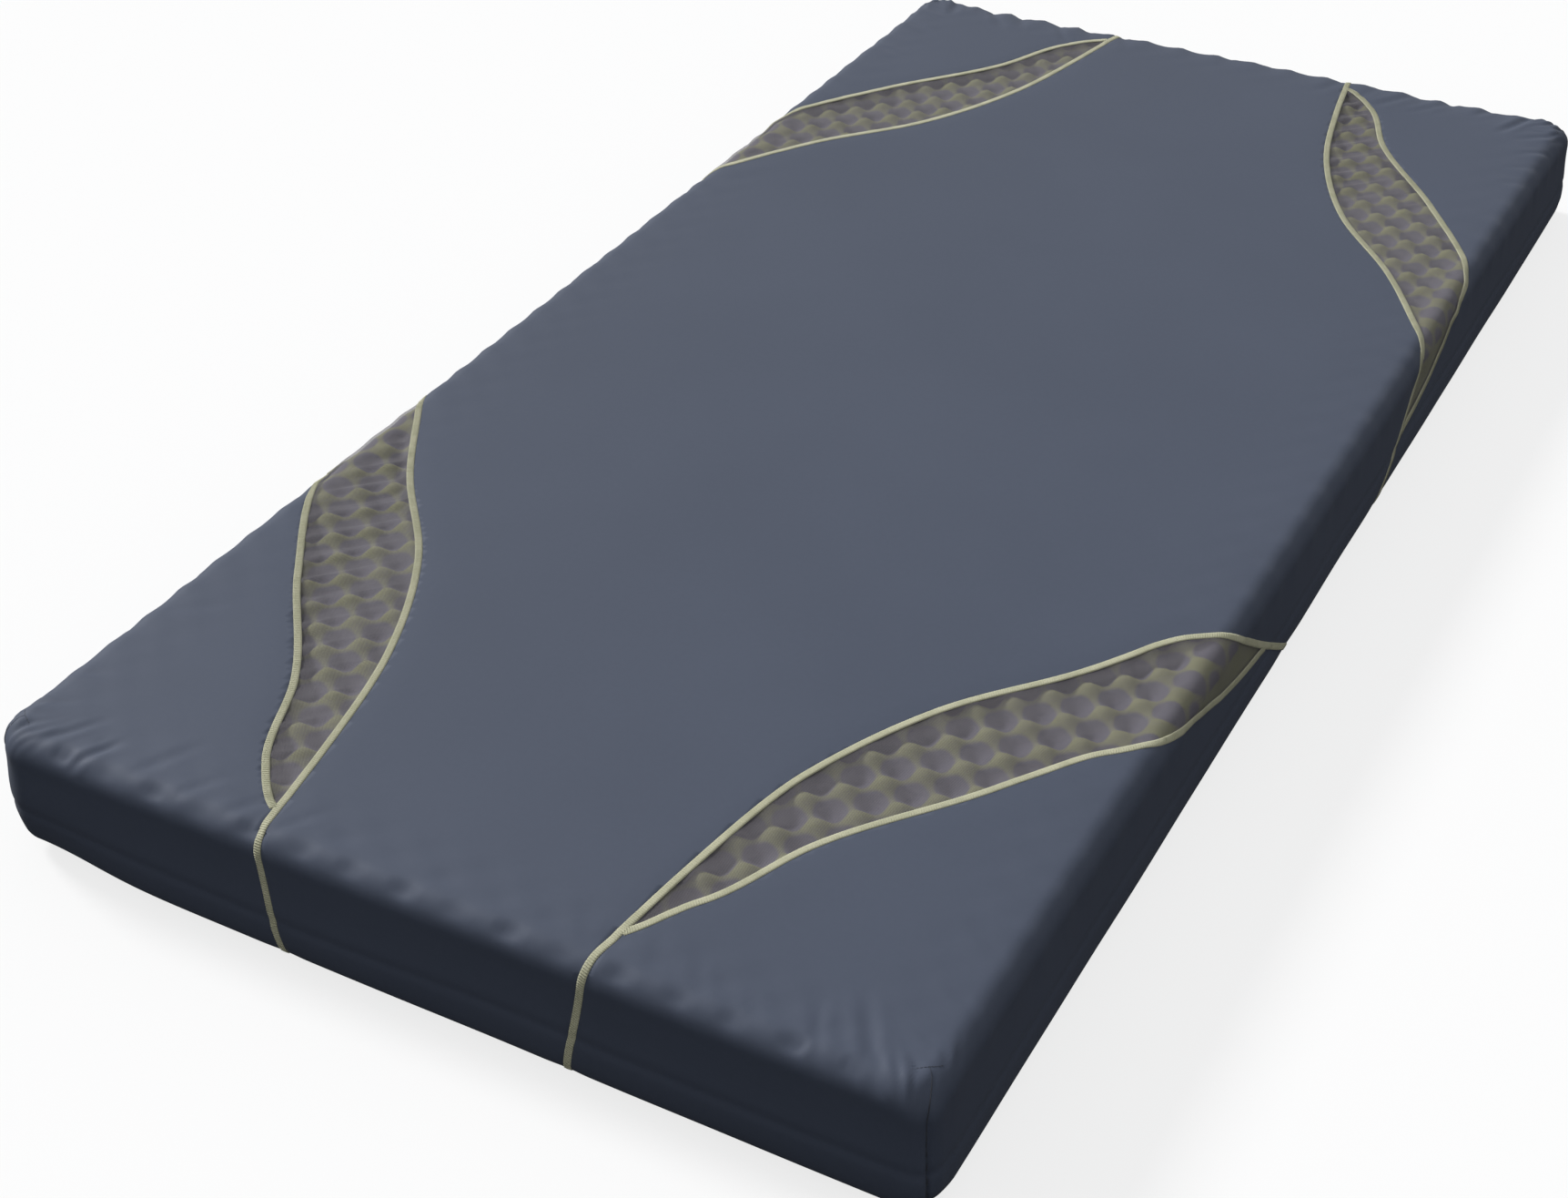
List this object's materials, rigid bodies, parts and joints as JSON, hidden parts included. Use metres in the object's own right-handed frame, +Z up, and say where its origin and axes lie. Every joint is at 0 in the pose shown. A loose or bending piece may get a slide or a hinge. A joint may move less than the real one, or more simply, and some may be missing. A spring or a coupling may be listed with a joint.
{
  "type": "pressure relief mattress",
  "caption": "Flat foam hospital mattress in a sewn stretch cover with curved mesh leaves, flat seam tapes, a grip base and a zip across the head end.",
  "frame": {"origin": "centre of the rectangle that the mattress covers, on the surface that it lies on", "axes": "+Z up out of the sleeping surface, +Y along the length towards the head end with the zip, +X across the width"},
  "size_m": [0.9156, 1.9119, 0.1278],
  "materials": {
    "base_foam": "open cell foam, matte",
    "top_foam": "convoluted open cell foam, matte",
    "cover_fabric": "smooth stretch knit, soft sheen",
    "mesh_fabric": "fine see-through knitted mesh",
    "seam_tape": "flatlock thread, satin",
    "dark_thread": "sewn thread, matte",
    "grip_fabric": "coated fabric with grip dots",
    "zip_tape": "woven tape",
    "zip_coil": "moulded nylon coil",
    "zip_metal": "dark enamelled metal"
  },
  "bodies": {
    "mattress": {"foam_base": "base_foam", "foam_top": "top_foam", "centre_panel": "cover_fabric", "corner_panel_foot_left": "cover_fabric", "corner_panel_foot_right": "cover_fabric", "corner_panel_head_left": "cover_fabric", "corner_panel_head_right": "cover_fabric", "mesh_panel_foot_left": "mesh_fabric", "mesh_panel_foot_right": "mesh_fabric", "mesh_panel_head_left": "mesh_fabric", "mesh_panel_head_right": "mesh_fabric", "long_tape_foot_left": "seam_tape", "long_tape_foot_right": "seam_tape", "long_tape_head_left": "seam_tape", "long_tape_head_right": "seam_tape", "short_tape_foot_left": "seam_tape", "short_tape_foot_right": "seam_tape", "short_tape_head_left": "seam_tape", "short_tape_head_right": "seam_tape", "corner_seam_foot_left": "dark_thread", "corner_seam_foot_right": "dark_thread", "corner_seam_head_left": "dark_thread", "corner_seam_head_right": "dark_thread", "base_panel": "grip_fabric", "base_seam": "dark_thread", "zip_tape_upper": "zip_tape", "zip_tape_lower": "zip_tape", "zip_teeth_upper": "zip_coil", "zip_teeth_lower": "zip_coil", "zip_stop_closed": "zip_metal", "zip_stop_open": "zip_metal"},
    "slider": {"zip_slider": "zip_metal"},
    "pull": {"zip_pull": "zip_metal"}
  },
  "joints": [
    {"name": "zip_slide", "type": "slide", "parent": "mattress", "child": "slider", "axis": [1, 0, 0], "range_m": [0, 0.774]},
    {"name": "pull_hinge", "type": "hinge", "parent": "slider", "child": "pull", "pos_m": [-0.387, 0.9563, 0.04], "axis": [0, 0, -1], "range_deg": [0, 180]}
  ]
}
